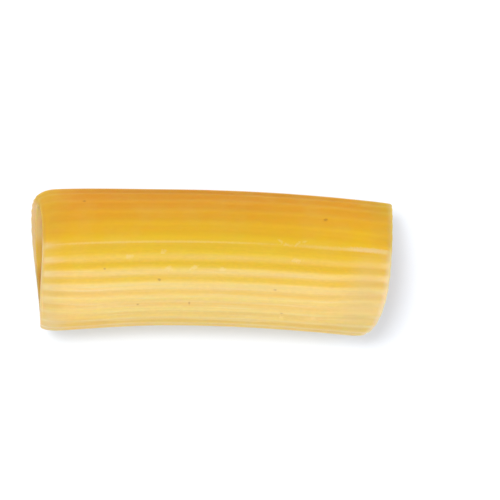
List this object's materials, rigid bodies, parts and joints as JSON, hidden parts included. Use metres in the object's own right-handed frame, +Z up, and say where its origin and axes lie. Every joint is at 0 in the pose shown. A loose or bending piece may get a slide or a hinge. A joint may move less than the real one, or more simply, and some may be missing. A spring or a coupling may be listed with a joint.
{
  "type": "rigatoni pasta tube",
  "caption": "Short ridged tube of dried pasta, slightly bent, open right through, with a slanting knife cut at each end.",
  "frame": {"origin": "centre of the bounding box's base, on the floor the tube lies on", "axes": "+X along the tube's length toward the more slanted end, +Y toward the outside of the bend, +Z up"},
  "size_m": [0.0428, 0.017, 0.016],
  "materials": {
    "dried_pasta": null
  },
  "bodies": {
    "root": {"rigatoni_tube": "dried_pasta"}
  },
  "joints": []
}
